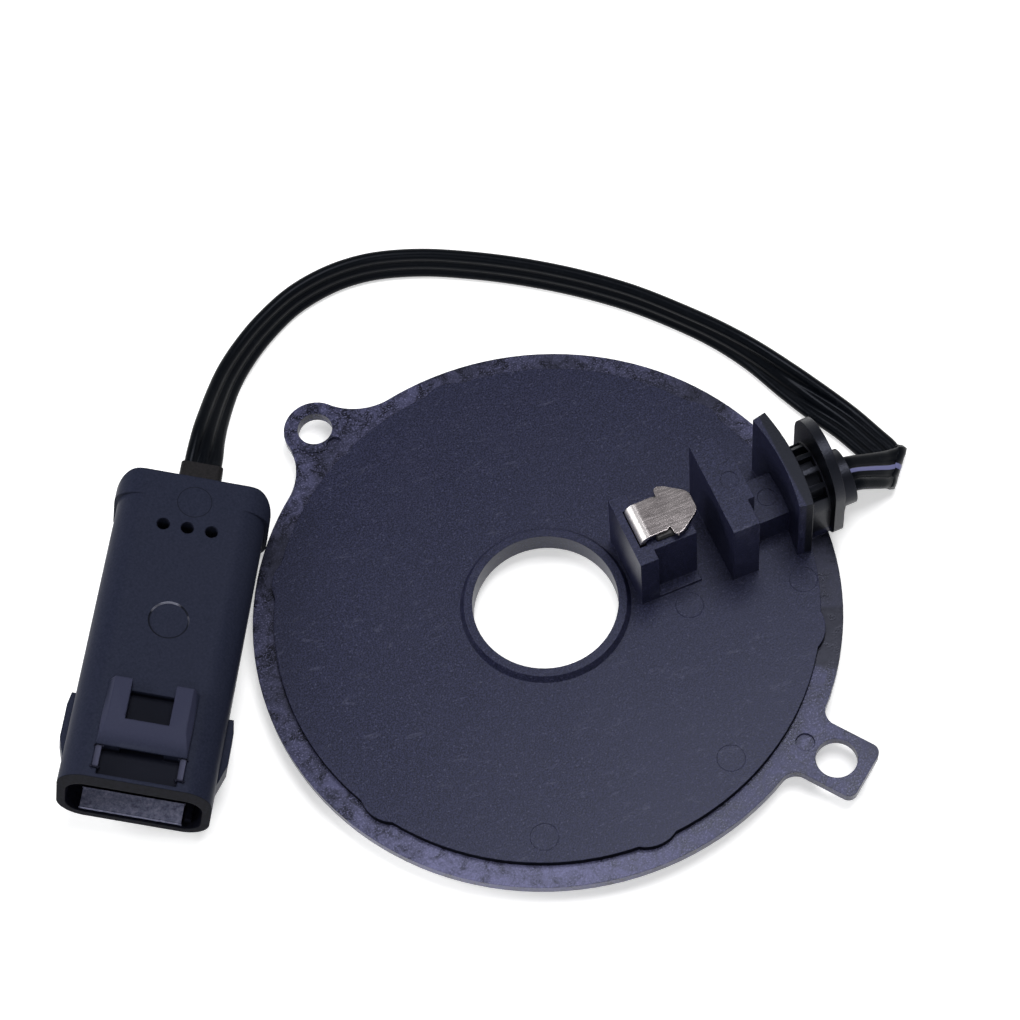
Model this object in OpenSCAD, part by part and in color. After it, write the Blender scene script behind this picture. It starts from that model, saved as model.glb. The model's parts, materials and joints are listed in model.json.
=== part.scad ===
// Ignition hall sensor: a moulded switch plate for a distributor, with its magnet tower, sensor slab,
// three-core ribbon lead and locking connector.
// Origin: centre of the shaft hole, in the plane of the flange's seating face. +Z up, +X to the lead's neck.
// All lengths are in millimetres.

/* [Plate] */
// Radius of the thin flange
flange_r = 44.9; // [44.5:0.1:46]
// Thickness of the flange
flange_t = 1.7; // [1.4:0.1:2.4]
// Radius of the raised disk
disk_r = 41.5; // [41:0.1:42]
// Height of the disk over the flange
disk_step = 1.2; // [0.8:0.1:1.6]
// Wall of the disk over its hollow underside
disk_wall = 2; // [1.6:0.1:2.4]
// Radius of the shaft hole
shaft_hole_r = 11.1; // [10.4:0.1:11.6]
// Outer radius of the collar round the shaft hole
collar_r = 13; // [12.5:0.1:13.2]
// Height of the collar over the disk
collar_h = 1.1; // [0.6:0.1:1.6]
// Slope of the collar's outer side
collar_slope = 0.6; // [0.3:0.1:0.8]
// Depth of the locating ring under the flange
spigot_h = 2.9; // [2.6:0.1:4]
// Outer radius of the locating ring
spigot_r = 41; // [40.5:0.1:41]
// Wall of the locating ring
spigot_wall = 1.8; // [1.4:0.1:2.2]
// Reach of the six lobes beyond the disk
lobe_reach = 0.8; // [0.4:0.1:1.2]
// Radius of each lobe's end
lobe_r = 5.2; // [4.5:0.1:6]

/* [Ears] */
// Radius at which the round ear's hole lies
round_ear_at = 48.6; // [48:0.1:50]
// Direction of the round ear in degrees
round_ear_angle = 115.6; // [112:0.1:118]
// Radius of the round ear's hole
round_ear_hole_r = 2.75; // [2.6:0.05:3.2]
// Radius of the round ear's end
round_ear_r = 5; // [4.8:0.1:6]
// Radius of the round ear's flanks
round_ear_flank_r = 10; // [8:0.5:12]
// Radius at which the square ear's hole lies
square_ear_at = 49.7; // [49:0.1:50.5]
// Direction of the square ear in degrees
square_ear_angle = -53.8; // [-56:0.1:-52]
// Radius of the square ear's hole
square_ear_hole_r = 3.1; // [2.8:0.1:3.3]
// Width of the square ear
square_ear_w = 9.2; // [8.6:0.1:11]
// Radius of the square ear's corners
square_ear_corner_r = 1.4; // [0.8:0.1:2]
// Radius of the square ear's flanks
square_ear_flank_r = 2.6; // [2:0.1:4]
// Metal of the ear beyond its hole
ear_end_wall = 2; // [1.8:0.1:3]
// Radius of the dimple beside each ear's hole
dimple_r = 1.4; // [1:0.1:1.6]
// Depth of the dimples
dimple_d = 0.5; // [0.3:0.1:0.8]

/* [Magnet tower] */
// Height of the tower over the disk
tower_h = 13; // [11:0.5:14]
// Inner side of the tower's cross bar
bar_x = 13.4; // [13.3:0.1:13.8]
// Thickness of the cross bar
bar_t = 2.9; // [2.6:0.1:3.2]
// Width of the cross bar
bar_w = 12.1; // [11:0.1:13]
// Length of the tower's body beyond the bar
body_l = 6.9; // [6.6:0.1:7.2]
// Width of the tower's body
body_w = 8.8; // [8.4:0.1:9.6]
// Wall round the magnet
magnet_wall = 1.1; // [0.9:0.1:1.3]
// Height of the magnet
magnet_h = 10; // [8:0.5:11]
// Gap round the magnet in its pocket
magnet_gap = 0.1; // [0.05:0.05:0.2]
// Reach of the magnet over the tower's top
magnet_proud = 1; // [0.6:0.1:1.4]

/* [Pole piece] */
// Thickness of the steel strip
pole_t = 0.8; // [0.6:0.1:1]
// Width of the strip at its leg and neck
pole_leg_w = 6; // [5.4:0.1:7]
// Width of the spade's plate
pole_spade_w = 8.4; // [7.6:0.1:9]
// Width of the spade's cut tip
pole_tip_w = 3; // [2:0.1:4]
// Distance of the spade's shoulder from the axis
pole_shoulder_x = 19.8; // [19.2:0.1:20.2]
// Length of the spade from shoulder to tip
pole_spade_l = 4.9; // [4:0.1:5.2]
// Inner radius of the bend
pole_bend_r = 0.4; // [0.3:0.1:0.6]
// Depth of the leg below the tower's top
pole_leg_d = 9; // [6:0.5:10]
// Gap round the leg in its slot
pole_gap = 0.15; // [0.1:0.05:0.25]

/* [Sensor slab] */
// Width of the shutter gap between tower and slab
shutter_gap = 4.4; // [4.2:0.1:4.6]
// Thickness of the slab
slab_t = 4.2; // [4:0.1:4.6]
// Width of the slab
slab_w = 16; // [14:0.5:18]
// Height of the slab over the disk
slab_h = 15.6; // [14:0.1:16]
// Thickness of the pad on the slab's outer side
pad_t = 1.1; // [0.8:0.1:1.3]
// Thickness of the slab's wall towards the gap
slab_wall = 0.9; // [0.7:0.1:1]
// Width of the Hall chip
chip_w = 4.4; // [4:0.1:4.8]
// Height of the Hall chip
chip_h = 3.4; // [3:0.1:4]
// Thickness of the Hall chip
chip_t = 1.5; // [1.3:0.1:1.6]
// Height of the chip's centre over the disk
chip_up = 9; // [8:0.5:10]
// Thickness of the flux plate behind the chip
flux_t = 0.8; // [0.6:0.1:0.9]

/* [Wire duct and neck] */
// Height of the duct over the disk
duct_h = 6; // [5:0.5:8]
// Width of the duct
duct_w = 7.4; // [7:0.1:8.4]
// Inner radius of the arc wall
arc_r = 39; // [38.6:0.1:39.2]
// Thickness of the arc wall
arc_t = 2.2; // [1.8:0.1:2.4]
// Height of the arc wall over the disk
arc_h = 15.7; // [14:0.1:17]
// Half of the angle that the arc wall spans
arc_half_angle = 12; // [11:0.5:14]
// Radius of the neck
neck_r = 5.9; // [5.6:0.1:6.4]
// Height of the neck's centre over the seating face
neck_z = 8.8; // [8:0.1:10]
// Distance of the guard disc from the axis
guard_x = 44.7; // [44.5:0.1:45]
// Thickness of the guard disc
guard_t = 1.6; // [1.4:0.1:2.2]
// Half of the guard disc's width
guard_r = 7.2; // [7:0.1:8]
// Height of the guard disc's top
guard_top = 20.2; // [19:0.1:22]
// Radius of the lead's boss
boss_r = 4.4; // [4.2:0.1:4.8]
// Reach of the boss beyond the guard disc
boss_l = 3.7; // [3:0.1:4.5]

/* [Ribbon lead] */
// Diameter of each insulated core
core_d = 2; // [2:0.1:2]
// Diameter of the splice barrels
splice_d = 1.5; // [1.4:0.1:1.6]
// Thickness of the chip's legs
leg_t = 0.4; // [0.3:0.1:0.5]
// Distance between the chip's legs
leg_pitch = 1.3; // [1.2:0.1:1.4]

/* [Connector] */
// Length of the housing
conn_l = 51.8; // [50:0.2:53]
// Width of the housing
conn_w = 22.8; // [22.4:0.1:23.2]
// Height of the housing
conn_h = 14.4; // [14:0.1:15]
// Radius of the housing's long edges
conn_edge_r = 4.2; // [3.5:0.1:5]
// Length of the thicker hood at the rear
hood_l = 4.4; // [3.6:0.1:6]
// Reach of the hood on each side
hood_out = 0.6; // [0.3:0.1:0.6]
// Wall beside and under the mouth
mouth_wall = 1.3; // [1:0.1:1.5]
// Wall over the mouth, which carries the lock
mouth_roof = 3.3; // [2.8:0.1:3.4]
// Depth of the mouth
mouth_d = 15; // [13:0.5:17]
// Distance between terminals
terminal_pitch = 3.7; // [3.6:0.05:4]
// Width of the terminal blades
blade_w = 1.5; // [1.2:0.1:1.8]
// Thickness of the terminal blades
blade_t = 0.8; // [0.6:0.1:0.8]
// Height of the blades over the housing's underside
blade_h = 4.8; // [4.2:0.1:5]
// Reach of the blades into the mouth
blade_reach = 10; // [8:0.5:11]
// Diameter of the three holes on the top
top_hole_d = 2; // [1.6:0.1:2.2]
// Distance of the three holes from the rear
top_hole_x = 9; // [8.6:0.1:11]
// Width of the lock over its posts
lock_w = 13.4; // [13:0.1:15]
// Width of the window between the posts
lock_window_w = 6.5; // [6:0.1:7.2]
// Height of the lock over the housing
lock_h = 1.8; // [1.6:0.1:2.4]
// Start of the lock's posts from the rear
lock_x = 36.2; // [35.6:0.1:36.6]
// Length of the lock
lock_l = 10.6; // [10:0.1:11]
// Length of the lock's crossbar
lock_bar_l = 4.1; // [3.2:0.1:4.4]
// Depth of the recess under the lock
recess_d = 1.4; // [1:0.1:1.6]
// Reach of the side wings
wing_out = 1.1; // [0.8:0.1:1.6]
// Length of the collar behind the housing
tail_out = 6; // [5:0.1:7]
// Width of the collar behind the housing
tail_w = 6.6; // [6.4:0.1:8]
// Thickness of the collar behind the housing
tail_t = 4; // [3.4:0.1:4.6]

/* [Hidden] */
$fn = 96;
eps = 0.01;
// Lap of a flank's circle over the edges that it runs into
flank_lap = 0.04;

plastic = [0.13, 0.14, 0.19];
dark_plastic = [0.10, 0.09, 0.10];
rubbery = [0.05, 0.05, 0.055];
steel = [0.72, 0.69, 0.66];
tinned = [0.75, 0.75, 0.73];

disk_top = flange_t + disk_step;
underside = disk_top - disk_wall;
floor_z = -spigot_h;
tower_top = disk_top + tower_h;
body_x = bar_x + bar_t;
body_end = body_x + body_l;
slab_x = body_end + shutter_gap;
slab_end = slab_x + slab_t;
slab_top = disk_top + slab_h;
duct_top = disk_top + duct_h;
pocket_x = slab_x + slab_wall;
pocket_end = slab_end - slab_wall;
pocket_w = chip_w + 0.6;
wire_w = 3 * core_d + 0.4;
duct_roof = 1.2;
magnet_top = tower_top + magnet_proud;
magnet_l = body_l - 2 * magnet_wall;
magnet_w = body_w - 2 * magnet_wall;
pole_leg_wall = 0.8;
pole_leg_x = body_x - pole_leg_wall - pole_t;
chip_z = disk_top + chip_up;
boss_x = guard_x + guard_t;
boss_end = boss_x + boss_l;
lead_exit_z = 5.6;
core_gap = 0.05;
leg_z = underside + 0.7;
splice_x = slab_end + 0.6;
splice_l = 3.4;
cores_x = splice_x + splice_l;
ribbon_w = 3 * core_d;

// Small forms of the plate: the ledge at the tower's foot, the boss's foot, the round ear's rim, where the
// dimples lie, and the circles of the mould's ejector pins as radius and direction on the disk.
ledge_h = 0.6;
boss_foot_l = 1.4;
ear_rim_h = 0.3;
ear_rim_r = 4.2;
round_dimple_at = 44.2;
square_dimple_at = 44.5;
ejector_places = [[37.5, -113.4], [37.4, -66.3], [39.2, -18.1], [21.8, -24.5]];
ejector_r = 2.1;
ejector_d = 0.08;
dot_d = 0.15;
slab_dot = [30.7, 0.5];
slab_dot_r = 1.35;
duct_dot_x = 36.8;
duct_dot_r = 1.45;
spade_side_l = 1.4;
spade_relief_r = 0.5;

// Connector: the middle of its rear edge lies at conn_at, and its mouth points along conn_yaw. The ribbon's
// twist holds it rolled to one side, with its mouth a little up.
conn_at = [-44.2, 38.01, -1.27];
conn_yaw = -119.6;
conn_pitch = 2.9;
conn_roll = -11.1;
entry_h = 6.4;
partition_x = conn_l - mouth_d;
tail_in = 6;
crimp_x = tail_in;
crimp_l = 9;
crimp_d = 2.2;
link_l = 1.2;
mouth_high = conn_h - mouth_wall - mouth_roof;
key_rib_y = 7.6;
key_rib_h = 1.5;
wing_x = 36.4;
wing_end = 47.6;
wing_z = 4.4;
wing_t = 4;
hood_r = 3;
hood_w = conn_w + 2 * hood_out;
tail_edge_r = 0.8;
block_more = 1.6;
bar_drop = 0.5;
bar_slope = 0.5;
lock_window_rise = 0.9;
recess_l = 4.4;
recess_w = 11.8;

// Directions along the connector and up through its top, and the point where the lead meets its collar.
conn_axis = [cos(conn_pitch) * cos(conn_yaw), cos(conn_pitch) * sin(conn_yaw), sin(conn_pitch)];
conn_up = [sin(conn_roll) * sin(conn_yaw) - cos(conn_roll) * sin(conn_pitch) * cos(conn_yaw),
    -sin(conn_roll) * cos(conn_yaw) - cos(conn_roll) * sin(conn_pitch) * sin(conn_yaw),
    cos(conn_roll) * cos(conn_pitch)];
lead_end = conn_at - tail_out * conn_axis + entry_h * conn_up;

// The lead's centreline: out of the boss, down, folded under itself, round the plate, and up into the
// connector's collar. The fourth value is the ribbon's bank in degrees, with its outer edge up.
lead_route = [
    [50, 0, 5.6, 0], [51.4, 0, 5.3, 0], [53.2, 0.1, 4.3, 0], [55, 0.2, 2.7, 0], [56.4, 0.3, 1.3, 0], [57.6, 0.5, 0.5, 0],
    [58.5, 0.6, 0.2, 0], [59.1, 0.8, 0.1, 0], [59.5, 1.2, -0.9, 0], [59.5, 1.8, -1.9, 0], [59.3, 3.2, -1.9, 0],
    [58.8, 5, -1.9, 0], [58, 7.2, -1.9, 0], [56.2, 11.8, -1.7, 4], [53.6, 16.6, -1.1, 20], [51, 21.6, -0.5, 46],
    [47.8, 28, 0, 68], [44.4, 33.7, 0.1, 78], [40.6, 38.9, 0.12, 82], [35.6, 44.9, 0.12, 82], [30.8, 49.7, 0.12, 82],
    [25.6, 54.2, 0.12, 82], [19.5, 58.8, 0.12, 82], [13, 63, 0.12, 82], [6.4, 66.6, 0.12, 82], [-0.3, 69.1, 0.12, 82],
    [-5.9, 70, 0.12, 82], [-11.2, 69.7, 0.12, 80], [-16.4, 68.4, 0.12, 78], [-22, 65.6, 0.2, 74], [-26.6, 62.3, 0.5, 70],
    [-30.2, 58.8, 1.1, 65], [-32.9, 55.2, 2, 60], [-35.1, 51.7, 3.1, 54], [-36.95, 48.5, 4.05, 44],
    [-38.6, 45.4, 4.5, 28], [lead_end[0], lead_end[1], lead_end[2], -conn_roll]];
// The crease of the fold runs along this direction, over these route points, where it is as much wider as it
// is slanted.
crease_angle = 49;
crease_w = 7.2;
fold_first = 7;
fold_last = 9;

function unit(v) = v / norm(v);
function flat_angle(v) = atan2(v[1], v[0]);
function place(i) = [for (k = [0:2]) lead_route[i][k]];
function tangent(i) = i == 0 ? [1, 0, 0] : i == len(lead_route) - 1 ? conn_axis : unit(place(i + 1) - place(i - 1));
function width_angle(i) = i < fold_first ? flat_angle(tangent(i)) + 90
    : i <= fold_last ? crease_angle
    : i == fold_last + 1 ? 30
    : flat_angle(tangent(i)) - 90;
function banked(i) = let (bank = lead_route[i][3])
    [cos(width_angle(i)) * cos(bank), sin(width_angle(i)) * cos(bank), sin(bank)];
function along_width(i) = i >= fold_first && i <= fold_last + 1 ? banked(i)
    : unit(banked(i) - (banked(i) * tangent(i)) * tangent(i));
function thickness_dir(i) = unit(cross(tangent(i), along_width(i)));
ribbon_section = [[1, 0.3], [0.78, 1], [0.2, 0.9], [-0.2, 0.9], [-0.78, 1], [-1, 0.3],
    [-1, -0.3], [-0.78, -1], [-0.2, -0.9], [0.2, -0.9], [0.78, -1], [1, -0.3]];
function ring_w(i) = i < fold_first || i > fold_last ? ribbon_w : crease_w;
function ribbon_ring(i) = [for (s = ribbon_section)
    place(i) + s[0] * ring_w(i) / 2 * along_width(i) + s[1] * core_d / 2 * thickness_dir(i)];

// A flat shape stood upright across the X axis: its X becomes +Y and its Y becomes +Z.
module across_x(x, length) {
    translate([x, 0, 0]) rotate([90, 0, 90]) linear_extrude(length) children();
}

// A rectangle with round corners, centred.
module round_rect(w, h, r) {
    square([w - 2 * r, h], center = true);
    square([w, h - 2 * r], center = true);
    for (x = [-1, 1], y = [-1, 1]) translate([x * (w / 2 - r), y * (h / 2 - r)]) circle(r, $fn = 48);
}

// Outline of the round ear, with flanks that run tangent into the flange.
module round_ear_outline() {
    reach = flange_r + round_ear_flank_r - flank_lap;
    arm = round_ear_r + round_ear_flank_r - flank_lap;
    flank_x = (reach * reach - arm * arm + round_ear_at * round_ear_at) / (2 * round_ear_at);
    flank_y = sqrt(reach * reach - flank_x * flank_x);
    rotate(round_ear_angle) {
        translate([round_ear_at, 0]) circle(round_ear_r);
        difference() {
            polygon([[0, 0], [flank_x * flange_r / reach, -flank_y * flange_r / reach], [flank_x, -flank_y],
                [round_ear_at, 0], [flank_x, flank_y], [flank_x * flange_r / reach, flank_y * flange_r / reach]]);
            for (s = [-1, 1]) translate([flank_x, s * flank_y]) circle(round_ear_flank_r);
        }
    }
}

// Outline of the square-ended ear.
module square_ear_outline() {
    half = square_ear_w / 2;
    end_x = square_ear_at + square_ear_hole_r + ear_end_wall;
    reach = flange_r + square_ear_flank_r - flank_lap;
    flank_y = half + square_ear_flank_r - flank_lap;
    flank_x = sqrt(reach * reach - flank_y * flank_y);
    rotate(square_ear_angle) {
        translate([flange_r - 3, -half]) square([end_x - square_ear_corner_r - flange_r + 3, square_ear_w]);
        translate([flange_r - 3, square_ear_corner_r - half])
            square([end_x - flange_r + 3, square_ear_w - 2 * square_ear_corner_r]);
        for (s = [-1, 1]) translate([end_x - square_ear_corner_r, s * (half - square_ear_corner_r)])
            circle(square_ear_corner_r);
        difference() {
            polygon([[0, 0], [flank_x * flange_r / reach, -flank_y * flange_r / reach], [flank_x, -flank_y],
                [flank_x, -half + eps], [flank_x, half - eps], [flank_x, flank_y],
                [flank_x * flange_r / reach, flank_y * flange_r / reach]]);
            for (s = [-1, 1]) translate([flank_x, s * flank_y]) circle(square_ear_flank_r);
        }
    }
}

module flange_outline() {
    circle(flange_r, $fn = 180);
    round_ear_outline();
    square_ear_outline();
}

module disk_outline() {
    circle(disk_r, $fn = 180);
    for (k = [0:5]) rotate(30 + 60 * k) translate([disk_r + lobe_reach - lobe_r, 0]) circle(lobe_r);
}

// Outline of the guard disc, in its own plane: an arch over a foot with round corners.
module guard_outline() {
    arch_z = guard_top - guard_r;
    foot_r = 3;
    foot_z = flange_t - 0.4;
    translate([0, arch_z]) circle(guard_r);
    translate([-guard_r, foot_z + foot_r]) square([2 * guard_r, arch_z - foot_z - foot_r]);
    translate([foot_r - guard_r, foot_z]) square([2 * (guard_r - foot_r), foot_r]);
    for (s = [-1, 1]) translate([s * (guard_r - foot_r), foot_z + foot_r]) circle(foot_r);
}

// Neck between the arc wall and the guard disc, with ribs between pockets along its upper side.
module neck() {
    pocket_d = 1.6;
    pocket_y = 1.8;
    pocket_side = 0.25;
    lap = 0.5;
    difference() {
        across_x(arc_r + lap, guard_x - arc_r) {
            translate([0, neck_z]) circle(neck_r);
            translate([-neck_r, flange_t - eps]) square([2 * neck_r, neck_z - flange_t + eps]);
        }
        for (a = [-52, -26, 0, 26, 52]) translate([arc_r + arc_t + pocket_side, 0, neck_z]) rotate([a, 0, 0])
            translate([0, -pocket_y / 2, neck_r - pocket_d])
                cube([guard_x - arc_r - arc_t - 2 * pocket_side, pocket_y, pocket_d + 1]);
    }
}

// Space for the chip's legs, the splices and the cores, open from below.
module wire_space() {
    translate([pocket_x, -pocket_w / 2, 0]) cube([pocket_end - pocket_x, pocket_w, chip_z + chip_h / 2 + 0.3]);
    translate([pocket_x, -wire_w / 2, 0]) cube([arc_r - pocket_x, wire_w, duct_top - duct_roof]);
}

module base_plate() color(plastic) difference() {
    union() {
        linear_extrude(flange_t) flange_outline();
        linear_extrude(disk_top) disk_outline();
        rotate_extrude() polygon([[shaft_hole_r - 1, 0], [collar_r, 0], [collar_r, disk_top],
            [collar_r - collar_slope, disk_top + collar_h], [shaft_hole_r - 1, disk_top + collar_h]]);
        translate([0, 0, floor_z]) difference() {
            cylinder(h = spigot_h + eps, r = spigot_r, $fn = 180);
            translate([0, 0, -1]) cylinder(h = spigot_h + 2, r = spigot_r - spigot_wall, $fn = 180);
        }
        // Magnet tower
        translate([bar_x, -bar_w / 2, disk_top - eps]) cube([bar_t, bar_w, tower_h + eps]);
        translate([body_x - eps, -body_w / 2, disk_top - eps]) cube([body_l + eps, body_w, tower_h + eps]);
        translate([body_x - eps, -bar_w / 2, disk_top - eps]) cube([body_l + eps, bar_w, ledge_h]);
        // Sensor slab with the pad and the duct behind it
        translate([slab_x, -slab_w / 2, disk_top - eps]) cube([slab_t, slab_w, slab_h + eps]);
        translate([slab_end - eps, -duct_w / 2, disk_top - eps]) cube([pad_t + eps, duct_w, slab_h + eps]);
        translate([slab_end - eps, -duct_w / 2, disk_top - eps]) cube([arc_r - slab_end + 1, duct_w, duct_h + eps]);
        // Arc wall
        rotate([0, 0, -arc_half_angle]) rotate_extrude(angle = 2 * arc_half_angle, $fn = 180)
            translate([arc_r, disk_top - eps]) square([arc_t, arc_h + eps]);
        neck();
        across_x(guard_x, guard_t) guard_outline();
        translate([boss_x - eps, 0, lead_exit_z]) rotate([0, 90, 0]) cylinder(h = boss_l + eps, r = boss_r);
        translate([boss_x - eps, 0, lead_exit_z]) rotate([0, 90, 0]) cylinder(h = boss_foot_l, r = boss_r + 0.6);
        // Rim round the round ear's hole
        rotate([0, 0, round_ear_angle]) translate([round_ear_at, 0, 0]) cylinder(h = flange_t + ear_rim_h, r = ear_rim_r);
    }
    // Hollow underside, between the hub and the locating ring
    translate([0, 0, -1]) difference() {
        cylinder(h = underside + 1, r = spigot_r - spigot_wall, $fn = 180);
        translate([0, 0, -1]) cylinder(h = underside + 3, r = collar_r);
        translate([bar_x, -bar_w / 2, 0]) cube([arc_r - bar_x + 2, bar_w, underside + 2]);
    }
    translate([0, 0, -1]) cylinder(h = disk_top + collar_h + 2, r = shaft_hole_r);
    for (e = [[round_ear_angle, round_ear_at, round_ear_hole_r, round_dimple_at],
            [square_ear_angle, square_ear_at, square_ear_hole_r, square_dimple_at]])
        rotate([0, 0, e[0]]) {
            translate([e[1], 0, -1]) cylinder(h = flange_t + 3, r = e[2]);
            translate([e[3], 0, flange_t - dimple_d]) cylinder(h = dimple_d + 1, r = dimple_r);
        }
    // Pocket for the magnet and slot for the pole piece's leg
    translate([body_x + magnet_wall - magnet_gap, -magnet_w / 2 - magnet_gap, magnet_top - magnet_h])
        cube([magnet_l + 2 * magnet_gap, magnet_w + 2 * magnet_gap, magnet_h + 1]);
    translate([pole_leg_x - pole_gap, -pole_leg_w / 2 - 2 * pole_gap, tower_top - pole_leg_d - pole_gap])
        cube([pole_t + 2 * pole_gap, pole_leg_w + 4 * pole_gap, pole_leg_d + 1]);
    wire_space();
    // Bores for the three cores through neck and boss
    for (k = [-1, 0, 1]) translate([cores_x, k * core_d, lead_exit_z]) rotate([0, 90, 0])
        cylinder(h = boss_end - cores_x + 1, r = core_d / 2 + core_gap);
    // Circles that the mould's ejector pins leave
    for (p = ejector_places)
        rotate([0, 0, p[1]]) translate([p[0], 0, disk_top - ejector_d]) cylinder(h = 1, r = ejector_r);
    translate([slab_dot[0], slab_dot[1], slab_top - dot_d]) cylinder(h = 1, r = slab_dot_r);
    translate([duct_dot_x, 0, duct_top - dot_d]) cylinder(h = 1, r = duct_dot_r);
}

module magnet() color(steel)
    translate([body_x + magnet_wall, -magnet_w / 2, magnet_top - magnet_h]) cube([magnet_l, magnet_w, magnet_h]);

// Steel strip: a leg in the tower, a bend, and a spade-shaped plate on the magnet.
module pole_piece() color(steel) {
    outer_r = pole_bend_r + pole_t;
    plate_x = pole_leg_x + outer_r;
    tip_x = pole_shoulder_x + pole_spade_l;
    translate([pole_leg_x, -pole_leg_w / 2, tower_top - pole_leg_d])
        cube([pole_t, pole_leg_w, magnet_top - pole_bend_r - tower_top + pole_leg_d]);
    translate([plate_x, pole_leg_w / 2, magnet_top - pole_bend_r]) rotate([90, 0, 0]) linear_extrude(pole_leg_w)
        intersection() {
            difference() {
                circle(outer_r);
                circle(pole_bend_r);
            }
            translate([-outer_r, 0]) square(outer_r);
        }
    translate([0, 0, magnet_top]) linear_extrude(pole_t) difference() {
        polygon([[plate_x, -pole_leg_w / 2], [pole_shoulder_x, -pole_leg_w / 2], [pole_shoulder_x, -pole_spade_w / 2],
            [pole_shoulder_x + spade_side_l, -pole_spade_w / 2], [tip_x, -pole_tip_w / 2], [tip_x, pole_tip_w / 2],
            [pole_shoulder_x + spade_side_l, pole_spade_w / 2], [pole_shoulder_x, pole_spade_w / 2],
            [pole_shoulder_x, pole_leg_w / 2], [plate_x, pole_leg_w / 2]]);
        for (s = [-1, 1]) translate([pole_shoulder_x - spade_relief_r, s * pole_leg_w / 2])
            circle(spade_relief_r, $fn = 32);
    }
}

module hall_chip() color(dark_plastic)
    translate([pocket_x, -chip_w / 2, chip_z - chip_h / 2]) cube([chip_t, chip_w, chip_h]);

module flux_plate() color(steel)
    translate([pocket_x + chip_t, -chip_w / 2, chip_z - chip_h / 2]) cube([flux_t, chip_w, chip_h]);

// One leg of the chip: down from the chip, then along to its splice.
module chip_leg(k) color(tinned) {
    x = pocket_x + chip_t / 2;
    y = k * leg_pitch;
    run_z = lead_exit_z;
    translate([x - leg_t / 2, y - leg_t / 2, run_z - leg_t / 2]) cube([leg_t, leg_t, chip_z - chip_h / 2 - run_z + leg_t / 2]);
    translate([x, y - leg_t / 2, run_z - leg_t / 2]) cube([slab_end - x, leg_t, leg_t]);
    translate([slab_end - leg_t, min(y, k * core_d) - leg_t / 2, run_z - leg_t / 2])
        cube([leg_t, abs(k) * (core_d - leg_pitch) + leg_t, leg_t]);
    translate([slab_end - leg_t, k * core_d - leg_t / 2, run_z - leg_t / 2]) cube([splice_x - slab_end + leg_t, leg_t, leg_t]);
}

module splice(k) color(tinned)
    translate([splice_x, k * core_d, lead_exit_z]) rotate([0, 90, 0]) cylinder(h = splice_l, d = splice_d, $fn = 32);

// The cores' stretch inside the neck and boss, up to the boss's face.
module neck_cores() color(rubbery)
    for (k = [-1, 0, 1]) translate([cores_x, k * core_d, lead_exit_z]) rotate([0, 90, 0])
        cylinder(h = boss_end - cores_x, d = core_d - 2 * core_gap, $fn = 32);

// Resin that closes the wire space from below.
module potting() color(dark_plastic)
    translate([pocket_x, -wire_w / 2, 0]) cube([arc_r - pocket_x, wire_w, lead_exit_z - core_d / 2 - 0.1]);

module lead_cable() color(rubbery) {
    sides = len(ribbon_section);
    rings = len(lead_route);
    points = [for (i = [0:rings - 1]) each ribbon_ring(i)];
    walls = [for (i = [0:rings - 2], j = [0:sides - 1])
        let (a = i * sides + j, b = i * sides + (j + 1) % sides) each [[a, b, b + sides], [a, b + sides, a + sides]]];
    start = [for (j = [0:sides - 1]) sides - 1 - j];
    finish = [for (j = [0:sides - 1]) (rings - 1) * sides + j];
    polyhedron(points, concat([start], walls, [finish]));
}

module in_connector() {
    translate(conn_at) rotate([conn_roll, -conn_pitch, conn_yaw]) children();
}

// Tail piece that grips the ribbon, with its inner block in the housing.
module cable_collar() color(dark_plastic) in_connector() {
    across_x(-tail_out, tail_out) translate([0, entry_h]) round_rect(tail_w, tail_t, tail_edge_r);
    across_x(0, tail_in) translate([0, entry_h]) round_rect(tail_w + block_more, tail_t + block_more, tail_edge_r);
}

// Crimp barrel, the link down from it, and the blade.
module terminal_form(k, blade_end) {
    blade_z = blade_h - blade_t / 2;
    translate([crimp_x, k * terminal_pitch, entry_h]) rotate([0, 90, 0]) cylinder(h = crimp_l, d = crimp_d, $fn = 32);
    translate([crimp_x + crimp_l, k * terminal_pitch - blade_w / 2, blade_z])
        cube([link_l, blade_w, entry_h + crimp_d / 2 - 0.3 - blade_z]);
    translate([crimp_x + crimp_l, k * terminal_pitch - blade_w / 2, blade_z])
        cube([blade_end - crimp_x - crimp_l, blade_w, blade_t]);
}

module terminal(k) color(tinned) in_connector() terminal_form(k, partition_x + blade_reach);

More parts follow.
